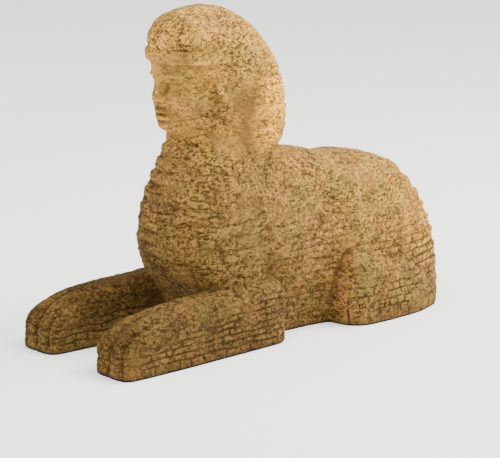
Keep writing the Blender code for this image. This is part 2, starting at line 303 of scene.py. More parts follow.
# Shares made from a place, a stored value or a cloud: source, where it begins, where it is full,
# and the values there
SHARES = {
    "loins": ("y", -18 * MM, 10 * MM, 0.0, 13 * MM),
    "under_back": ("z", 58 * MM, 44 * MM, 0.0, 1.0),
    "over_foot": ("z", 8 * MM, 30 * MM, 0.0, 1.0),
    # rear and off_ground place a painted highlight on the rump's rear
    "rear": ("y", 48 * MM, 84 * MM, 0.0, 0.6),
    "off_ground": ("z", 10 * MM, 30 * MM, 0.0, 1.0),
    "foot": ("z", 2.4 * MM, 0.9 * MM, 0.0, 1.0),
    # smooth places painted shade on the headcloth's smooth side pieces
    "smooth": ("polish", 0.65, 0.88, 0.0, 0.9),
    "ridge": ("raised", 0.1, 0.9, 0.0, 0.6),
    "hollow": ("sunk", 0.15, 1.0, 0.0, 1.0),
    "pink_patch": ("pink", 0.48, 0.62, 0.0, 0.4),
    "green_patch": ("green", 0.5, 0.62, 0.0, 0.425),
    "light_tone": ("light", 0.46, 0.6, 1.0, 1.25),
    "dull_tone": ("dull", 0.48, 0.36, 1.0, 0.73),
    "side_filled": ("filled", 0.52, 0.58, 0.0, 0.5),
    "grain_top": ("grain", 0.5, 0.61, 0.0, 0.8),
    "pitted": ("pits", 0.36, 0.6, 0.55, 1.55),
    "dent": ("dents", 0.47, 0.38, 0.0, 1.0),
    "crack": ("cracks", 0.41, 0.35, 0.0, 1.0),
    "cracked": ("crack_patches", 0.42, 0.55, 0.0, 1.0),
    "speck": ("specks", 0.46, 0.36, 0.0, 1.0),
}

# The kinds of node in the materials, and where a mix of colours takes and gives them
COORDINATES = "ShaderNodeTexCoord"
SEPARATE = "ShaderNodeSeparateXYZ"
COMBINE = "ShaderNodeCombineXYZ"
ATTRIBUTE = "ShaderNodeAttribute"
MAPPING = "ShaderNodeMapping"
NOISE = "ShaderNodeTexNoise"
WHITE_NOISE = "ShaderNodeTexWhiteNoise"
RANGE = "ShaderNodeMapRange"
MATH = "ShaderNodeMath"
VECTOR_MATH = "ShaderNodeVectorMath"
MIX = "ShaderNodeMix"
BUMP = "ShaderNodeBump"
FIRST, SECOND, MIXED = 6, 7, 2

# The floor is wide enough that low views don't see its edge
FLOOR_WIDTH = 40.0

# Soft lights: name, turn from the camera and rise in degrees, width, distance from the figure
LIGHTS = (
    ("key", 95, 58, 0.5, 0.7),
    ("fill", -40, 25, 0.8, 0.9),
)


def linear(hex_colour):
    """An sRGB hex colour as linear red, green, blue and alpha."""
    channels = [int(hex_colour[i : i + 2], 16) / 255 for i in (1, 3, 5)]
    return tuple(c / 12.92 if c <= 0.04045 else ((c + 0.055) / 1.055) ** 2.4 for c in channels) + (1.0,)


def colour_setting(name, description, hex_colour):
    return bpy.props.FloatVectorProperty(
        name=name,
        description=description,
        subtype="COLOR",
        size=4,
        min=0,
        max=1,
        default=linear(hex_colour),
    )


def length_setting(name, description, millimetres):
    return bpy.props.FloatProperty(
        name=name,
        description=description,
        subtype="DISTANCE",
        unit="LENGTH",
        min=0,
        precision=5,
        default=millimetres * MM,
    )


def power_setting(name, description, watts):
    return bpy.props.FloatProperty(
        name=name, description=description, subtype="POWER", unit="POWER", min=0, default=watts
    )


class SphinxCarving(bpy.types.PropertyGroup):
    """Sizes of the carving."""

    grain: length_setting("Grain", "How finely the form is worked", 0.42)
    layer_spacing: length_setting("Layer spacing", "Height of one of the stone's layers", 5.2)
    layer_unevenness: length_setting("Layer unevenness", "How far layers differ in height", 2.4)
    layer_depth: length_setting("Layer depth", "Depth of the grooves between layers", 1.1)
    layer_waver: length_setting("Layer waver", "How far a layer's groove rises and falls", 1.6)
    waver_span: length_setting("Waver span", "Length over which a groove rises and falls", 35)
    pleat_spacing: length_setting("Pleat spacing", "Height of one pleat of the headcloth", 3.6)
    pleat_depth: length_setting("Pleat depth", "Depth of the grooves between pleats", 0.4)
    joint_depth: length_setting("Joint depth", "Depth of the joints between blocks", 0.35)
    joint_width: length_setting("Joint width", "Width of the joints between blocks", 0.9)
    roughness: length_setting("Rough lumps", "Height of the weathered stone's lumps", 0.17)
    pit_depth: length_setting("Pit depth", "Depth of the larger pits", 0.45)
    ledge_height: length_setting("Ledge height", "Height of a worn ledge on rump and breast", 5.6)
    ledge_depth: length_setting("Ledge depth", "How far a worn ledge juts out", 0.9)
    most_triangles: bpy.props.IntProperty(
        name="Most triangles",
        description="The finished casting keeps about this many triangles",
        min=10000,
        max=199000,
        default=192000,
    )


class SphinxColours(bpy.types.PropertyGroup):
    """Colours of the casting and the felt."""

    # Pale, warm and ochre run from the head and back down to the paws; the darkening towards the ground and
    # the front is partly painted shade.
    stone_pale: colour_setting("Pale stone", "The head and back", "#BB8A3C")
    stone_warm: colour_setting("Warm stone", "Most of the figure", "#80602E")
    stone_ochre: colour_setting("Ochre stone", "Legs, paws and low places", "#57401B")
    stone_pink: colour_setting("Pinkish stone", "Scattered patches", "#956337")
    stone_green: colour_setting("Greenish stone", "Scattered patches", "#70622D")
    # The colour of the painted highlight on the headcloth's rim and the rump's rear
    worn: colour_setting("Worn stone", "The rubbed edges of the headcloth and rump", "#EFA83A")
    wash: colour_setting("Brown wash", "Joints, pits and creases", "#3A260C")
    felt: colour_setting("Black felt", "The pad under the casting", "#121110")


class SphinxStage(bpy.types.PropertyGroup):
    """Camera, floor and light."""

    azimuth: bpy.props.FloatProperty(
        name="Azimuth",
        description="How far the camera is turned from the face towards the figure's left",
        subtype="ANGLE",
        default=math.radians(49.87),
    )
    elevation: bpy.props.FloatProperty(
        name="Elevation",
        description="How far the camera looks down",
        subtype="ANGLE",
        default=math.radians(12.62),
    )
    distance: length_setting("Distance", "From the point looked at to the camera", 762.4)
    lens: bpy.props.FloatProperty(
        name="Lens",
        description="Focal length in millimetres on a 36 mm wide sensor",
        min=1,
        default=149.7,
    )
    look_at: bpy.props.FloatVectorProperty(
        name="Look at",
        description="The point in the middle of the picture",
        subtype="XYZ",
        unit="LENGTH",
        size=3,
        default=(1.97 * MM, -5.68 * MM, 36.93 * MM),
    )
    floor_colour: colour_setting("Floor", "The plain pale floor", "#FAF9F7")
    floor_glow: bpy.props.FloatProperty(
        name="Floor glow", description="Light that comes through the floor", min=0, default=0.7
    )
    sky_strength: bpy.props.FloatProperty(
        name="Sky strength", description="Light from all round", min=0, default=1.0
    )
    key_power: power_setting("Key power", "Power of the large soft light", 11)
    fill_power: power_setting("Fill power", "Power of the light in front", 3.5)


def direction(turn, rise):
    """The way to something at that turn from the face and that rise above level."""
    return Vector((math.sin(turn) * math.cos(rise), -math.cos(turn) * math.cos(rise), math.sin(rise)))


def place(x, y, z):
    return Vector((x * WIDTH / 200, y * LENGTH / 200, z * HEIGHT / 100))


def signed_power(value, power):
    return math.copysign(abs(value) ** power, value)


def arched_ring(x, y, top, half_width, foot_half_width, squareness, spring=0.5):
    """A ring across the figure at y: walls from the ground to a spring line, and an arch on them."""
    wall_steps, arch_steps = 6, 60
    spring_height = BELOW + (top - BELOW) * spring
    wall = []
    for i in range(wall_steps):
        share = i / wall_steps
        half = foot_half_width + (half_width - foot_half_width) * share
        wall.append((half, BELOW + (spring_height - BELOW) * share))
    arch = []
    for i in range(arch_steps + 1):
        turn = math.pi * i / arch_steps
        across = signed_power(math.cos(turn), 2 / squareness)
        rise = signed_power(math.sin(turn), 2 / squareness)
        arch.append((across * half_width, spring_height + (top - spring_height) * rise))
    outline = wall + arch + [(-half, z) for half, z in reversed(wall)]
    return [place(x + across, y, z) for across, z in outline]


def level_ring(z, x, front, rear, half_width, widest=50, front_squareness=3, rear_squareness=3):
    """A ring round the figure at height z. widest is a place in hundredths of its depth."""
    steps = 96
    middle = front + (rear - front) * widest / 100
    ring = []
    for i in range(steps):
        turn = 2 * math.pi * i / steps
        squareness = rear_squareness if math.sin(turn) > 0 else front_squareness
        across = signed_power(math.cos(turn), 2 / squareness)
        along = signed_power(math.sin(turn), 2 / squareness)
        reach = rear - middle if along > 0 else middle - front
        ring.append(place(x + across * half_width, middle + along * reach, z))
    return ring


def curved_rows(rows, steps=4):
    """The rows of a profile with more between them, on a smooth curve through them all."""
    table = np.array(rows, dtype=float)
    before = np.vstack((table[:1], table[:-1]))
    after = np.vstack((table[1:], table[-1:]))
    beyond = np.vstack((after[1:], after[-1:]))
    finer = []
    for i in range(len(table) - 1):
        for step in range(steps):
            t = step / steps
            leave = (after[i] - before[i]) / 2
            arrive = (beyond[i] - table[i]) / 2
            finer.append(
                (2 * t**3 - 3 * t**2 + 1) * table[i]
                + (t**3 - 2 * t**2 + t) * leave
                + (3 * t**2 - 2 * t**3) * table[i + 1]
                + (t**3 - t**2) * arrive
            )
    finer.append(table[-1])
    return finer


def add_loft(shape, rings):
    """Skins rings of as many points each, in order, and closes both ends."""
    rows = [[shape.verts.new(p) for p in ring] for ring in rings]
    count = len(rows[0])
    for row, following in zip(rows, rows[1:]):
        for i in range(count):
            j = (i + 1) % count
            shape.faces.new((row[i], row[j], following[j], following[i]))
    shape.faces.new(list(reversed(rows[0])))
    shape.faces.new(rows[-1])


def add_ball(shape, centre, reach):
    """An ellipsoid with its middle and reaches in the figure's hundredths."""
    matrix = Matrix.Translation(place(*centre)) @ Matrix.Diagonal((*place(*reach), 1))
    bmesh.ops.create_icosphere(shape, subdivisions=4, radius=1, matrix=matrix)


def add_trunk(shape):
    trunk = curved_rows(TRUNK)
    add_loft(shape, [arched_ring(0, y, top, half, foot, 2.4) for y, top, half, foot in trunk])
    rump = []
    for z, front, rear, half in curved_rows(RUMP):
        widest = 100 * (RUMP_WIDEST - front) / (rear - front)
        rump.append(level_ring(z, 0, front, rear, half, widest, 2.3, 2.3))
    add_loft(shape, rump)
    breast = curved_rows(BREAST)
    add_loft(shape, [level_ring(z, 0, front, rear, half, 50, 2.5, 3) for z, front, rear, half in breast])


def add_foreleg(shape, side):
    leg = curved_rows(FORELEG)
    add_loft(shape, [arched_ring(side * x, y, top, half, half, 3.1) for y, x, top, half in leg])
    paw = []
    for z, front, share in curved_rows(PAW):
        half = PAW_HALF_WIDTH * share
        paw.append(level_ring(z, side * PAW_MIDDLE, front, PAW_REAR, half, 50, PAW_SQUARENESS))
    add_loft(shape, paw)


def add_haunch(shape, side):
    rings = []
    for z, front, rear, half in curved_rows(HAUNCH):
        rings.append(level_ring(z, side * HAUNCH_MIDDLE, front, rear, half, HAUNCH_WIDEST, 2.6, 2.3))
    add_loft(shape, rings)


def add_head(shape):
    cloth = []
    for z, front, rear, half, widest, squareness in curved_rows(HEADCLOTH):
        cloth.append(level_ring(z, 0, front, rear, half, widest, squareness, 2.3))
    add_loft(shape, cloth)
    band = curved_rows(BROW_BAND)
    add_loft(shape, [level_ring(z, 0, front, -15, half, 60, 2.2, 2) for z, front, half in band])
    face = curved_rows(FACE)
    add_loft(shape, [level_ring(z, 0, front, FACE_REAR, half, 70, 2.3, 2) for z, front, half in face])
    (x, y, z), reach = EARS
    for side in (1, -1):
        add_ball(shape, (side * x, y, z), reach)


def applied(form):
    """The object with its modifiers made part of its mesh."""
    evaluated = form.evaluated_get(bpy.context.evaluated_depsgraph_get())
    old = form.data
    form.data = bpy.data.meshes.new_from_object(evaluated)
    form.modifiers.clear()
    bpy.data.meshes.remove(old)
    return form


def read_points(mesh, what):
    flat = np.empty(3 * len(mesh.vertices), dtype=np.float32)
    mesh.vertices.foreach_get(what, flat)
    return flat.reshape(-1, 3).astype(np.float64)


def write_points(mesh, points):
    mesh.vertices.foreach_set("co", points.astype(np.float32).ravel())
    mesh.update()


def joined_form(name, shape, grain, passes):
    """The rough shapes as one closed skin, worked at the grain and rubbed smooth."""
    bmesh.ops.recalc_face_normals(shape, faces=shape.faces)
    mesh = bpy.data.meshes.new(name)
    shape.to_mesh(mesh)
    shape.free()
    form = bpy.data.objects.new(name, mesh)
    bpy.context.scene.collection.objects.link(form)
    remesh = form.modifiers.new("one_skin", "REMESH")
    remesh.mode = "VOXEL"
    remesh.voxel_size = grain
    smooth = form.modifiers.new("rubbed", "SMOOTH")
    smooth.factor = 0.5
    smooth.iterations = passes
    return applied(form)


def ramp(values, low, high):
    """0 up to low, 1 from high on, and straight between them."""
    return np.clip((values - low) / (high - low), 0, 1)


def mound(values, middle, spread):
    return np.exp(-(((values - middle) / spread) ** 2))


def upright(normals):
    """1 where the form stands upright, 0 where it lies level."""
    return np.sqrt(1 - np.clip(np.abs(normals[:, 2]), 0, 1) ** 2)


def lattice(cells, seed):
    """A steady number from 0 to 1 for each cell of a grid."""
    whole = cells.astype(np.int64).astype(np.uint64)
    mixed = whole[:, 0] * np.uint64(73856093)
    mixed ^= whole[:, 1] * np.uint64(19349663)
    mixed ^= whole[:, 2] * np.uint64(83492791)
    mixed += np.uint64(seed * 2654435761)
    mixed ^= mixed >> np.uint64(15)
    mixed *= np.uint64(2246822519)
    mixed ^= mixed >> np.uint64(13)
    mixed *= np.uint64(3266489917)
    mixed ^= mixed >> np.uint64(16)
    return (mixed & np.uint64(0xFFFFFF)).astype(np.float64) / 0xFFFFFF


def lumps(points, size, seed):
    """Smooth noise from -1 to 1, with lumps of about that size."""
    scaled = points / size
    cell = np.floor(scaled)
    part = scaled - cell
    part = part * part * (3 - 2 * part)
    total = np.zeros(len(points))
    for corner in np.ndindex(2, 2, 2):
        weight = np.prod(np.where(corner, part, 1 - part), axis=1)
        total += weight * lattice(cell + corner, seed)
    return 2 * total - 1


def scattered(points, size, seed):
    """How far each point is from the nearest of scattered spots, and that spot's number."""
    scaled = points / size
    cell = np.floor(scaled)
    nearest = np.full(len(points), np.inf)
    number = np.zeros(len(points))
    for offset in np.ndindex(3, 3, 3):
        home = cell + np.array(offset) - 1
        spot = home + np.stack([lattice(home, seed + i) for i in range(3)], axis=1)
        away = np.linalg.norm(scaled - spot, axis=1)
        closer = away < nearest
        number = np.where(closer, lattice(home, seed + 3), number)
        nearest = np.minimum(nearest, away)
    return nearest, number


def model_face(form, features, paired_features):
    """Raises and sinks the face's features along its looking direction."""
    points = read_points(form.data, "co")
    x, y, z = points.T / MM
    front_only = ramp(-points[:, 1] * 200 / LENGTH, 36, 44)
    raised = np.zeros(len(points))
    for middle, level, spread_x, spread_z, height in features:
        raised += height * mound(x, middle, spread_x) * mound(z, level, spread_z)
    for middle, level, spread_x, spread_z, height in paired_features:
        raised += height * mound(np.abs(x), middle, spread_x) * mound(z, level, spread_z)
    points[:, 1] -= raised * front_only * MM
    write_points(form.data, points)


def hollow_ears(form):
    """Hollows each ear inside its rim."""
    points = read_points(form.data, "co")
    (x, y, z), (_, reach_y, reach_z) = EARS
    along = (points[:, 1] * 200 / LENGTH - y) / reach_y
    up = (points[:, 2] * 100 / HEIGHT - z) / reach_z
    side = np.sign(points[:, 0])
    on_ear = ramp(side * points[:, 0] * 200 / WIDTH, x - 6, x)
    inner = mound(np.hypot(along + 0.1, up / 1.2 - 0.05), 0, 0.42)
    outer = mound(np.hypot(along, up), 0.78, 0.16) * ramp(along + 0.9 * up, -0.7, -0.1)
    points[:, 0] -= side * on_ear * (1.5 * inner - 0.35 * outer) * MM
    write_points(form.data, points)


def carve_toes(form):
    """Wears grooves between the toes, up the front of each paw and a little way back over it."""
    points = read_points(form.data, "co")
    normals = read_points(form.data, "normal")
    x = np.abs(points[:, 0]) - PAW_MIDDLE * WIDTH / 200
    y = points[:, 1] * 200 / LENGTH
    strength = ramp(-y, -TOE_GROOVE_END, -TOE_GROOVE_FULL) * ramp(points[:, 2], 0, 3 * MM)
    depth = np.zeros(len(points))
    for offset in TOE_GROOVE_PLACES:
        depth += TOE_GROOVE_DEPTH * mound(x, offset, TOE_GROOVE_WIDTH)
    write_points(form.data, points - normals * (depth * strength)[:, None])


def layer_strength(points):
    """How strongly the stone's layers stand out: most on the breast's right side and the rump."""
    y = points[:, 1] * 200 / LENGTH
    z = points[:, 2] * 100 / HEIGHT
    breast = ramp(-y, 22, 34) * ramp(z, 17, 25) * (1 - ramp(z, 61, 64))
    breast *= 1 - 0.5 * ramp(points[:, 0] * 200 / WIDTH, -15, 30)
    rump = 0.7 * ramp(y, 60, 78)
    return np.maximum(np.maximum(breast, rump), 0.2 * (1 - ramp(z, 55, 60)))


def carve_layers(form, carving):
    """Wears uneven level grooves between the stone's layers, and pleats into the headcloth."""
    points = read_points(form.data, "co")
    normals = read_points(form.data, "normal")
    span = carving.waver_span
    waver = np.array([noise.noise(Vector(p) / span) for p in points])
    wear = np.array([noise.noise(Vector(p) / (span / 3)) for p in points])
    spacing = carving.layer_spacing
    uneven = np.array([noise.noise(Vector((0, 0, p[2])) / (2 * spacing)) for p in points])
    shift = waver * carving.layer_waver + uneven * carving.layer_unevenness
    level = (points[:, 2] + shift) / spacing
    grooves = (1 - np.abs(np.sin(np.pi * level))) ** 1.5 * (0.3 + ramp(wear, -0.2, 0.3))
    y = points[:, 1] * 200 / LENGTH
    z = points[:, 2] * 100 / HEIGHT
    depth = carving.layer_depth * grooves * layer_strength(points) * (1 - 0.55 * ramp(z, 50, 57))
    on_cloth = ramp(y, -21, -14) * ramp(z, 60, 63) * (1 - ramp(z, 88, 92))
    pleats = 0.5 + 0.5 * np.cos(2 * np.pi * points[:, 2] / carving.pleat_spacing)
    depth += carving.pleat_depth * pleats * on_cloth
    write_points(form.data, points - normals * (depth * upright(normals))[:, None])


# In the finer relief, places are in mm. A ramp gives where something begins and where it is in full.


def courses_at(points, normals):
    """Where each point lies in the stone's courses, and how strongly they show there.

    Gives the course counted from the ground, the place along it in blocks, the course's height, the
    block's length and the strength. The lowest course is taller than the others."""
    x, y, z = points.T
    rise = z + 0.7 * lumps(points, 9, 11) + 0.3 * lumps(points, 3, 12)
    drift = 1.2 * lumps(points, 6, 13)
    outward = np.sign(x) * normals[:, 0]
    facing_front = -normals[:, 1]
    wall = ramp(np.hypot(normals[:, 0], normals[:, 1]), 0.55, 0.85)
    leg = ramp(np.abs(x), 9, 11) * ramp(-y, 7, 9)
    leg_top = 1 - ramp(z - 0.17 * (y + 75), 8, 12)
    behind = ramp(y, -9, -6)
    haunch = ramp(y, 19, 22)
    round_rump = np.where(y > 38, np.arctan2(x, y - 38) * 30, np.where(outward > 0.5, 47 - y, x))
    low = 1 - ramp(z, 14, 19)
    leg_wall = leg * leg_top * ramp(outward, 0.4, 0.7) * (1 - ramp(-y, 76, 80))
    inner_wall = leg * leg_top * ramp(-outward, 0.4, 0.7)
    paw_front = 0.6 * leg * ramp(facing_front, 0.5, 0.8) * (1 - ramp(z, 6, 9)) * ramp(-y, 60, 70)
    flank = 0.7 * behind * ramp(outward, 0.2, 0.5) * (1 - haunch * low) * (1 - ramp(z, 34, 46))
    rump = haunch * wall * (1 - ramp(z, 26, 42)) * np.maximum(low, ramp(y, 40, 55))
    corner = 1.1 * haunch * low * (1 - ramp(y, 28, 31)) * ramp(facing_front, 0.3, 0.6)
    zones = (
        (LEG_COURSES, y, leg_wall),
        (INNER_COURSES, y, inner_wall),
        (PAW_COURSES, x, paw_front),
        (FLANK_COURSES, y, flank),
        (HAUNCH_COURSES, round_rump, rump),
        (CORNER_COURSES, x, corner),
    )
    level, along, tall, long = (np.ones(len(x)) for _ in range(4))
    strength = np.zeros(len(x))
    for (base, course, length), run, weight in zones:
        here = weight > strength
        above = 1 + (rise - base) / course
        level = np.where(here, np.where(rise < base, rise / base, above), level)
        tall = np.where(here, np.where(rise < base, base, course), tall)
        along = np.where(here, (run + drift) / length, along)
        long = np.where(here, length, long)
        strength = np.maximum(strength, weight)
    worn = np.maximum(ramp(lumps(points, 7, 14), -0.5, 0.1), 0.9 * leg * (1 - ramp(z, 8, 13)))
    return level, along, tall, long, np.clip(strength, 0, 1) * worn


def headcloth_zones(points):
    """How smooth the face and side pieces are, the crease before each side piece, and the rim. The side
    pieces' smoothness also places painted shade on them, and the rim marks where a painted highlight goes.
    """
    x, y, z = points.T
    face = ramp(-y, 30, 36) * ramp(z, 74, 77) * (1 - ramp(z, 104, 107))
    side_front = -33 + 0.36 * (z - 72)
    side = ramp(np.abs(x), 12, 16) * ramp(z, 66, 72) * (1 - ramp(z, 92, 101))
    crease = side * mound(y, side_front, 0.9)
    side *= ramp(y - side_front, 0, 2) * (1 - ramp(y, -19, -15))
    rim = ramp(y, -18, -14) * ramp(z, 68, 74) * (1 - ramp(y, 8, 14))
    return np.maximum(0.65 * face, 0.9 * side), crease, rim


def block_relief(level, along, tall, long, carving):
    """Joints between the blocks, and blocks that stand a little out or in."""
    row = np.floor(level)
    across = along + row * ROW_SHIFT
    own = lattice(np.stack([row, np.floor(across), row * 0], axis=1), 22)
    to_bed = np.minimum(level % 1, 1 - level % 1) * tall
    to_side = np.minimum(across % 1, 1 - across % 1) * long
    joint = mound(np.minimum(to_bed, to_side), 0, carving.joint_width / MM / 2)
    return carving.joint_depth / MM * joint + BLOCK_UNEVENNESS * (own - 0.5)


def ledge_relief(points, carving):
    """Worn ledges like a saw's teeth, on the rump and the right side of the breast."""
    x, y, z = points.T
    rise = z + 2.2 * lumps(points, 24, 57) + 0.8 * lumps(points, 7, 58)
    ledge = (rise / (carving.ledge_height / MM)) % 1
    ledge = 0.5 - ledge + ramp(ledge, 0.85, 1)
    right_breast = ramp(-x, 2, 12) * ramp(-y, 18, 28) * ramp(z, 22, 30) * (1 - ramp(z, 74, 80))
    rump = ramp(y, 42, 60) * ramp(z, 8, 16)
    return carving.ledge_depth / MM * ledge * np.maximum(rump, 0.8 * right_breast)


def crack_relief(points, normals):
    """Nearly level cracks, short and long, most on the breast."""
    y, z = points[:, 1], points[:, 2]
    depth = np.zeros(len(points))
    for deep, net, wide, net_seed, patch, full, patch_seed in CRACKS:
        crack = 1 - ramp(np.abs(lumps(points, net, net_seed)), 0.02, wide)
        depth += deep * crack * ramp(lumps(points, patch, patch_seed), 0, full)
    breast = ramp(-y, 8, 22) * ramp(z, 20, 28) * (1 - ramp(z, 78, 84))
    return depth * upright(normals) * np.clip(breast + 0.35, 0, 1)


def pit_relief(points):
    """Scattered pits, a little flattened, on half of the spots."""
    near, own = scattered(points * (1, 1, 1.4), PIT_SPACING, 60)
    return (1 - ramp(near + 0.12 * lumps(points, 0.9, 64), 0.08, 0.34)) * (own > 0.5)


def carve_weather(form, carving):
    """The finer relief: blocks, ledges, cracks, lumps, pits and thin lines."""
    raw = read_points(form.data, "co")
    normals = read_points(form.data, "normal")
    points = raw / MM
    polish, side_crease, rim = headcloth_zones(points)
    level, along, tall, long, masonry = courses_at(points, normals)
    coarse, fine = (lumps(points, size, seed) for size, seed in ROUGH_LUMPS)
    weathered = crack_relief(points, normals)
    weathered += carving.roughness / MM * (coarse + 0.9 * fine)
    weathered += carving.pit_depth / MM * pit_relief(points)
    depth = masonry * block_relief(level, along, tall, long, carving)
    depth += ledge_relief(points, carving)
    depth += (1 - 0.75 * polish) * (1 - 0.8 * masonry) * weathered
    depth += toe_lines(points, normals) + haunch_line(points, normals) + 0.45 * side_crease
    write_points(form.data, raw - normals * (depth * MM)[:, None])
    for name, values in zip(CARVED, (level, along, tall, long, masonry, polish, rim)):
        store(form.data, name, values)


def store(mesh, name, values):
    attribute = mesh.attributes.new(name, "FLOAT", "POINT")
    attribute.data.foreach_set("value", values.astype(np.float32))


def toe_lines(points, normals):
    """A thin line in each of the grooves between the toes."""
    x, y, z = points.T
    line = np.zeros(len(x))
    for i, offset in enumerate(TOE_GROOVE_PLACES):
        middle = PAW_MIDDLE * WIDTH / 200 + offset
        off = np.abs(x) - middle / MM - 0.5 * lumps(points, 4, 70 + i)
        line += 0.3 * mound(off, 0, 0.5) + 0.45 * mound(off, 0, 1.6)
    here = ramp(-y, 60, 76) * ramp(z, 1, 3) * ramp(np.maximum(-normals[:, 1], normals[:, 2]), 0.1, 0.5)
    return (line - 0.25) * here


def haunch_line(points, normals):
    """A worn line over the top of each haunch, where it meets the flank."""
    x, y, z = points.T
    up_front = [(front, level) for level, front, _, _ in HAUNCH[2:]]
    down_rear = [(rear, level) for level, _, rear, _ in HAUNCH[:0:-1]]
    outline = np.array(up_front + down_rear) * (LENGTH / 200, HEIGHT / 100) / MM
    top = np.interp(y, *outline.T)
    here = ramp(y, 20, 24) * (1 - ramp(y, 46, 62)) * ramp(np.sign(x) * normals[:, 0], 0.1, 0.4)
    return 0.6 * mound(z - top + 0.8 * lumps(points, 7, 75), 0.6, 0.9) * here


def brought_to_size(form):
    """Takes up what the smoothing rubbed off, so that the form fills the solid's box."""
    points = read_points(form.data, "co")
    kept = points[points[:, 2] > UNDERSIDE]
    low, high = kept.min(axis=0), kept.max(axis=0)
    points[:, 0] = (points[:, 0] - (low[0] + high[0]) / 2) * WIDTH / (high[0] - low[0])
    points[:, 1] = (points[:, 1] - (low[1] + high[1]) / 2) * LENGTH / (high[1] - low[1])
    above = points[:, 2] > 0
    points[above, 2] *= HEIGHT / high[2]
    write_points(form.data, points)


def sawn_flat(form, height):
    """The form with its underside sawn level at the height."""
    shape = bmesh.new()
    shape.from_mesh(form.data)
    everything = shape.verts[:] + shape.edges[:] + shape.faces[:]
    cut = bmesh.ops.bisect_plane(
        shape, geom=everything, plane_co=(0, 0, height), plane_no=(0, 0, 1), clear_inner=True
    )
    edges = [e for e in cut["geom_cut"] if isinstance(e, bmesh.types.BMEdge)]
    bmesh.ops.contextual_create(shape, geom=edges)
    bmesh.ops.triangulate(shape, faces=shape.faces)
    bmesh.ops.recalc_face_normals(shape, faces=shape.faces)
    shape.to_mesh(form.data)
    shape.free()
    return form


def reduced(form, triangles):
    decimate = form.modifiers.new("facets", "DECIMATE")
    form.data.calc_loop_triangles()
    decimate.ratio = min(1, triangles / len(form.data.loop_triangles))
    return applied(form)


def store_hollows(form):
    """Stores how sunk or raised each point is near by, for the wash to settle in, and how sunk it is farther
    round, for painted shade in wide creases.
    """
    mesh = form.data
    points = read_points(mesh, "co")
    normals = read_points(mesh, "normal")
    ends = np.empty(2 * len(mesh.edges), dtype=np.int64)
    mesh.edges.foreach_get("vertices", ends)
    ends = ends.reshape(-1, 2)
    here, there = np.concatenate((ends[:, 0], ends[:, 1])), np.concatenate((ends[:, 1], ends[:, 0]))
    count = np.bincount(here, minlength=len(points))

    def averaged(values):
        columns = values.reshape(len(points), -1).T
        total = [np.bincount(here, column[there], len(points)) / count for column in columns]
        return np.stack(total, axis=1).reshape(values.shape)

    def hollow_below(around):
        return np.einsum("ij,ij->i", around - points, normals) / MM

    around = averaged(averaged(points))
    hollow = hollow_below(around)
    hollow = 0.5 * hollow + 0.5 * averaged(hollow)
    for _ in range(CREASE_STEPS):
        around = averaged(around)
    creased = hollow_below(around) / FULL_CREASE - 0.45
    for name, values in zip(HOLLOWS, (hollow / FULL_HOLLOW, -hollow / FULL_HOLLOW, creased)):
        store(mesh, name, np.clip(values, 0, 1))


def wire(node, inputs):
    """Gives each input of the node a value or another node's output."""
    for socket, value in inputs.items():
        if isinstance(value, bpy.types.NodeSocket):
            node.id_data.links.new(value, node.inputs[socket])
        else:
            node.inputs[socket].default_value = value


def add_node(tree, kind, inputs, output=0, **settings):
    """Adds a node with its settings and inputs, and gives back one of its outputs."""
    node = tree.nodes.new(kind)
    for name, value in settings.items():
        setattr(node, name, value)
    wire(node, inputs)
    return node.outputs[output]


def new_material(name):
    material = bpy.data.materials.new(name)
    material.use_nodes = True
    return material, material.node_tree, material.node_tree.nodes["Principled BSDF"]


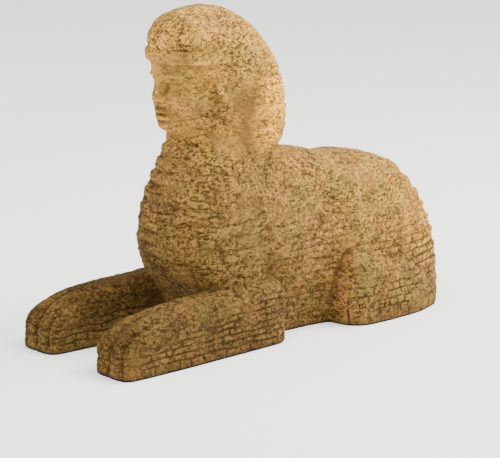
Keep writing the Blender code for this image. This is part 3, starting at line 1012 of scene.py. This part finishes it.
def stone_filled_resin(colours):
    """Cast stone-filled resin, moulded from a carved stone model and stained with a brown wash.

    The mineral filler gives the eye a dull, dry, finely grained skin with hardly any gloss. The wash stays in
    joints, pits and small hollows, and wears off the high places. Painted shade darkens wide creases, partly
    the low front, and the headcloth's side pieces; a painted highlight lightens the headcloth's rim and the
    rump's rear."""
    material, tree, shader = new_material("stone_filled_resin")
    node = partial(add_node, tree)
    where = node(COORDINATES, {}, "Object")
    axes = node(SEPARATE, {0: where}).node.outputs
    of = {"y": axes["Y"], "z": axes["Z"]}
    for name in CARVED + HOLLOWS:
        of[name] = node(ATTRIBUTE, {}, "Fac", attribute_name=name, attribute_type="GEOMETRY")
    for name, (size, detail, rough, away, flat, bend) in CLOUDS.items():
        moved = node(MAPPING, {0: where, "Location": (away, 0, 0), "Scale": (1, 1, flat)})
        inputs = {"Scale": 1 / (size * MM), "Detail": detail, "Roughness": rough, "Distortion": bend}
        of[name] = node(NOISE, {"Vector": moved, **inputs})
    for name, (source, none_at, full_at, none, full) in SHARES.items():
        inputs = {"From Min": none_at, "From Max": full_at, "To Min": none, "To Max": full}
        of[name] = node(RANGE, {"Value": of[source], **inputs})

    # Dark ochre on the paws, warm on the flanks, pale on the head and back: darker towards the ground and the
    # front, partly the stone's own tone with a stronger wash low down, partly painted shade for light falling
    # off away from the upper rear. Palest is a painted highlight on the headcloth's rim and the rump's rear.
    height = node(MATH, {0: of["y"], 1: 0.38, 2: of["z"]}, operation="MULTIPLY_ADD")
    height = node(MATH, {0: of["drift"], 1: 24 * MM, 2: height}, operation="MULTIPLY_ADD")
    flank = node(MATH, {0: of["under_back"], 1: of["over_foot"]}, operation="MULTIPLY")
    height = node(MATH, {0: flank, 1: of["loins"], 2: height}, operation="MULTIPLY_ADD")
    warm, pale, patchy = (
        node(RANGE, {"Value": height, "From Min": low * MM, "From Max": high * MM, "To Min": least})
        for low, high, least in ((8, 56, 0.0), (57, 109, 0.0), (16, 56, 0.35))
    )
    # Painted highlight: the rump's rear and the headcloth's rim are lightened where light catches them
    rubbed = node(MATH, {0: of["rear"], 1: of["off_ground"]}, operation="MULTIPLY")
    rim = node(MATH, {0: of["rim"], 1: 0.8}, operation="MULTIPLY")
    rubbed = node(MATH, {0: rubbed, 1: rim}, operation="MAXIMUM")
    pinkish = node(MATH, {0: of["pink_patch"], 1: patchy}, operation="MULTIPLY")
    greenish = node(MATH, {0: of["green_patch"], 1: patchy}, operation="MULTIPLY")
    colour = tuple(colours.stone_ochre)
    for share, other in (
        (warm, colours.stone_warm),
        (pale, colours.stone_pale),
        # painted shade on the headcloth's smooth side pieces
        (of["smooth"], colours.stone_warm),
        # painted highlight on the headcloth's rim and the rump's rear
        (rubbed, colours.worn),
        (pinkish, colours.stone_pink),
        (greenish, colours.stone_green),
    ):
        colour = node(MIX, {0: share, FIRST: colour, SECOND: other}, MIXED, data_type="RGBA")
    for tone in ("light_tone", "dull_tone"):
        colour = node(VECTOR_MATH, {0: colour, 1: of[tone]}, operation="MULTIPLY")
    bright = node(VECTOR_MATH, {0: colour, 1: (1.8, 1.8, 1.8)}, operation="MULTIPLY")
    dark = node(VECTOR_MATH, {0: colour, 1: (0.2, 0.2, 0.2)}, operation="MULTIPLY")
    dark = node(MIX, {0: 0.5, FIRST: dark, SECOND: colours.wash}, MIXED, data_type="RGBA")

    # Courses of blocks, from the places that the carving stored
    row = node(MATH, {0: of["course"]}, operation="FLOOR")
    across = node(MATH, {0: row, 1: ROW_SHIFT, 2: of["along"]}, operation="MULTIPLY_ADD")
    to_bed = node(MATH, {0: of["course"], 1: 0.5}, operation="PINGPONG")
    to_bed = node(MATH, {0: to_bed, 1: of["course_height"]}, operation="MULTIPLY")
    to_side = node(MATH, {0: across, 1: 0.5}, operation="PINGPONG")
    inputs = {0: to_side, 1: of["block_length"], 2: of["side_filled"]}
    to_side = node(MATH, inputs, operation="MULTIPLY_ADD")
    gap = node(MATH, {0: to_bed, 1: to_side}, operation="MINIMUM")
    gap = node(MATH, {0: of["ragged"], 1: 0.4, 2: gap}, operation="MULTIPLY_ADD")
    kept = node(MATH, {0: of["masonry"], 1: 0.16, 2: of["kept_joints"]}, operation="MULTIPLY_ADD")
    joint = node(RANGE, {"Value": gap, "From Min": 0.6, "From Max": 0.34})
    joint = node(MATH, {0: joint, 1: of["masonry"]}, operation="MULTIPLY")
    kept = node(RANGE, {"Value": kept, "From Min": 0.5, "From Max": 0.6})
    joint = node(MATH, {0: joint, 1: kept}, operation="MULTIPLY")
    number = node(MATH, {0: across}, operation="FLOOR")
    block = node(COMBINE, {"X": row, "Y": number})
    own = node(WHITE_NOISE, {"Vector": block})
    lighter = node(RANGE, {"Value": own, "From Min": 0.4, "To Max": 0.3})
    lighter = node(MATH, {0: lighter, 1: of["masonry"]}, operation="MULTIPLY")
    colour = node(MIX, {0: lighter, FIRST: colour, SECOND: bright}, MIXED, data_type="RGBA")

    # Filler grain, drawn two to three times as coarse as the real one so that it shows
    rough_part = node(MATH, {0: of["polish"], 1: -0.7, 2: 1.0}, operation="MULTIPLY_ADD")
    crest = node(MATH, {0: of["grain_top"], 1: rough_part}, operation="MULTIPLY")
    crest = node(MATH, {0: crest, 1: of["ridge"]}, operation="MAXIMUM")
    colour = node(MIX, {0: crest, FIRST: colour, SECOND: bright}, MIXED, data_type="RGBA")

    # The wash settles in dents, short level cracks, pits and joints, and where the form is sunk. Painted
    # shade darkens wide creases, and the colour is darker along the bottom edge above the felt.
    pitted = node(MATH, {0: of["pitted"], 1: rough_part}, operation="MULTIPLY")
    dents = node(MATH, {0: of["dent"], 1: pitted}, operation="MULTIPLY", use_clamp=True)
    cracks = node(MATH, {0: of["crack"], 1: of["cracked"]}, operation="MULTIPLY")
    cracks = node(MATH, {0: cracks, 1: rough_part}, operation="MULTIPLY")
    specks = node(MATH, {0: pitted, 1: 1.0}, operation="MINIMUM")
    specks = node(MATH, {0: specks, 1: of["speck"]}, operation="MULTIPLY")
    stain = 0.0
    for source, strength in (
        (of["hollow"], 0.7),
        (dents, 0.85),
        (cracks, 0.8),
        (joint, 0.9),
        (specks, 0.75),
        (of["foot"], 0.5),
        # painted shade in wide creases
        (of["creased"], 0.5),
    ):
        part = node(MATH, {0: source, 1: strength}, operation="MULTIPLY")
        stain = node(MATH, {0: stain, 1: part}, operation="MAXIMUM")
    colour = node(MIX, {0: stain, FIRST: colour, SECOND: dark}, MIXED, data_type="RGBA")

    relief = node(MATH, {0: of["grain"], 1: 0.7}, operation="MULTIPLY")
    relief = node(MATH, {0: relief, 1: rough_part}, operation="MULTIPLY")
    relief = node(MATH, {0: relief, 1: dents}, operation="SUBTRACT")
    opened = node(MATH, {0: cracks, 1: joint}, operation="MAXIMUM")
    relief = node(MATH, {0: relief, 1: opened}, operation="SUBTRACT")
    inputs = {
        "Base Color": colour,
        "Roughness": node(MATH, {0: of["grain"], 1: -0.35, 2: 1.05}, operation="MULTIPLY_ADD"),
        "Normal": node(BUMP, {"Height": relief, "Strength": 0.9, "Distance": 0.4 * MM}),
        "IOR": 1.5,
        "Specular IOR Level": 0.15,
        "Metallic": 0.0,
    }
    wire(shader, inputs)
    return material


def black_felt(colours):
    """Pressed wool felt, dyed black: dull, with a faint sheen from its loose fibres."""
    material, tree, shader = new_material("black_felt")
    node = partial(add_node, tree)
    where = node(COORDINATES, {}, "Object")
    # Fibres are about 0.03 mm thick. They are drawn ten times as coarse so that they show.
    inputs = {"Vector": where, "Scale": 1 / (0.3 * MM), "Detail": 4.0, "Roughness": 0.7}
    fibres = node(NOISE, inputs)
    dim, light = (tuple(share * c for c in colours.felt[:3]) + (1.0,) for share in (0.6, 1.6))
    inputs = {
        "Base Color": node(MIX, {0: fibres, FIRST: dim, SECOND: light}, MIXED, data_type="RGBA"),
        "Normal": node(BUMP, {"Height": fibres, "Strength": 0.6, "Distance": 0.1 * MM}),
        "Roughness": 0.95,
        "Specular IOR Level": 0.2,
        "Sheen Weight": 0.05,
        "Sheen Roughness": 0.6,
    }
    wire(shader, inputs)
    return material


def opal_acrylic(stage):
    """Opal acrylic sheet lit from below, as on a product table: even, pale and without gloss."""
    material, _, shader = new_material("opal_acrylic")
    inputs = {
        "Base Color": stage.floor_colour,
        "Roughness": 0.9,
        "Emission Color": stage.floor_colour,
        "Emission Strength": stage.floor_glow,
    }
    wire(shader, inputs)
    return material


class SPHINX_OT_set_stage(bpy.types.Operator):
    """Place the camera, a plain floor and soft light."""

    bl_idname = "sphinx.set_stage"
    bl_label = "Set Stage"

    def execute(self, context):
        stage = context.scene.sphinx_stage
        back = direction(stage.azimuth, stage.elevation)
        camera = bpy.data.cameras.new("camera")
        camera.sensor_width = 36
        camera.lens = stage.lens
        camera.clip_start = 10 * MM
        view = bpy.data.objects.new("camera", camera)
        view.location = Vector(stage.look_at) + back * stage.distance
        view.rotation_euler = back.to_track_quat("Z", "Y").to_euler()
        context.scene.collection.objects.link(view)
        context.scene.camera = view

        bpy.ops.mesh.primitive_plane_add(size=FLOOR_WIDTH)
        floor = context.active_object
        floor.name = "floor"
        floor.data.materials.append(opal_acrylic(stage))

        world = bpy.data.worlds.new("soft_sky")
        world.use_nodes = True
        world.node_tree.nodes["Background"].inputs["Color"].default_value = (1, 1, 1, 1)
        world.node_tree.nodes["Background"].inputs["Strength"].default_value = stage.sky_strength
        context.scene.world = world

        for name, turn, rise, size, away in LIGHTS:
            light = bpy.data.lights.new(name, "AREA")
            light.size = size
            light.energy = getattr(stage, name + "_power")
            lamp = bpy.data.objects.new(name, light)
            aim = direction(stage.azimuth + math.radians(turn), math.radians(rise))
            lamp.location = Vector((0, 0, HEIGHT / 2)) + aim * away
            lamp.rotation_euler = aim.to_track_quat("Z", "Y").to_euler()
            context.scene.collection.objects.link(lamp)
        return {"FINISHED"}


class SPHINX_OT_carve_casting(bpy.types.Operator):
    """Make the carved and weathered casting on the solid's form."""

    bl_idname = "sphinx.carve_casting"
    bl_label = "Carve Casting"

    def execute(self, context):
        carving = context.scene.sphinx_carving
        shape = bmesh.new()
        add_trunk(shape)
        add_head(shape)
        for side in (1, -1):
            add_foreleg(shape, side)
            add_haunch(shape, side)
        casting = joined_form("sphinx", shape, carving.grain, SMOOTHING_PASSES)
        model_face(casting, FEATURES, PAIRED_FEATURES)
        hollow_ears(casting)
        carve_toes(casting)
        carve_layers(casting, carving)
        brought_to_size(casting)
        carve_weather(casting, carving)
        model_face(casting, FINE_FEATURES, PAIRED_FINE_FEATURES)
        brought_to_size(casting)
        sawn_flat(casting, FELT_TOP + SEAM)
        reduced(casting, carving.most_triangles)
        store_hollows(casting)
        casting.data.shade_smooth()
        casting.data.materials.append(stone_filled_resin(context.scene.sphinx_colours))
        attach(casting, "root")
        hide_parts("sphinx_casting")
        return {"FINISHED"}


class SPHINX_OT_finish_felt(bpy.types.Operator):
    """Give the felt pad its finish."""

    bl_idname = "sphinx.finish_felt"
    bl_label = "Finish Felt"

    def execute(self, context):
        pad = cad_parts["felt_pad"]
        pad.data.materials.clear()
        pad.data.materials.append(black_felt(context.scene.sphinx_colours))
        return {"FINISHED"}


class SPHINX_PT_panel(bpy.types.Panel):
    """The statuette's settings and steps."""

    bl_idname = "SPHINX_PT_panel"
    bl_label = "Sphinx Statuette"
    bl_space_type = "VIEW_3D"
    bl_region_type = "UI"
    bl_category = "Sphinx"

    def draw(self, context):
        for group in (context.scene.sphinx_carving, context.scene.sphinx_colours, context.scene.sphinx_stage):
            box = self.layout.box()
            for name in group.__annotations__:
                box.prop(group, name)
        for operator in STEPS:
            self.layout.operator(operator.bl_idname)


GROUPS = (
    (SphinxCarving, "sphinx_carving"),
    (SphinxColours, "sphinx_colours"),
    (SphinxStage, "sphinx_stage"),
)
STEPS = (SPHINX_OT_set_stage, SPHINX_OT_carve_casting, SPHINX_OT_finish_felt)


def register():
    for group, name in GROUPS:
        bpy.utils.register_class(group)
        setattr(bpy.types.Scene, name, bpy.props.PointerProperty(type=group))
    for operator in STEPS:
        bpy.utils.register_class(operator)
    bpy.utils.register_class(SPHINX_PT_panel)


def unregister():
    bpy.utils.unregister_class(SPHINX_PT_panel)
    for operator in reversed(STEPS):
        bpy.utils.unregister_class(operator)
    for group, name in reversed(GROUPS):
        delattr(bpy.types.Scene, name)
        bpy.utils.unregister_class(group)


def main():
    register()
    bpy.ops.sphinx.set_stage()
    bpy.ops.sphinx.carve_casting()
    bpy.ops.sphinx.finish_felt()


if __name__ == "__main__":
    main()
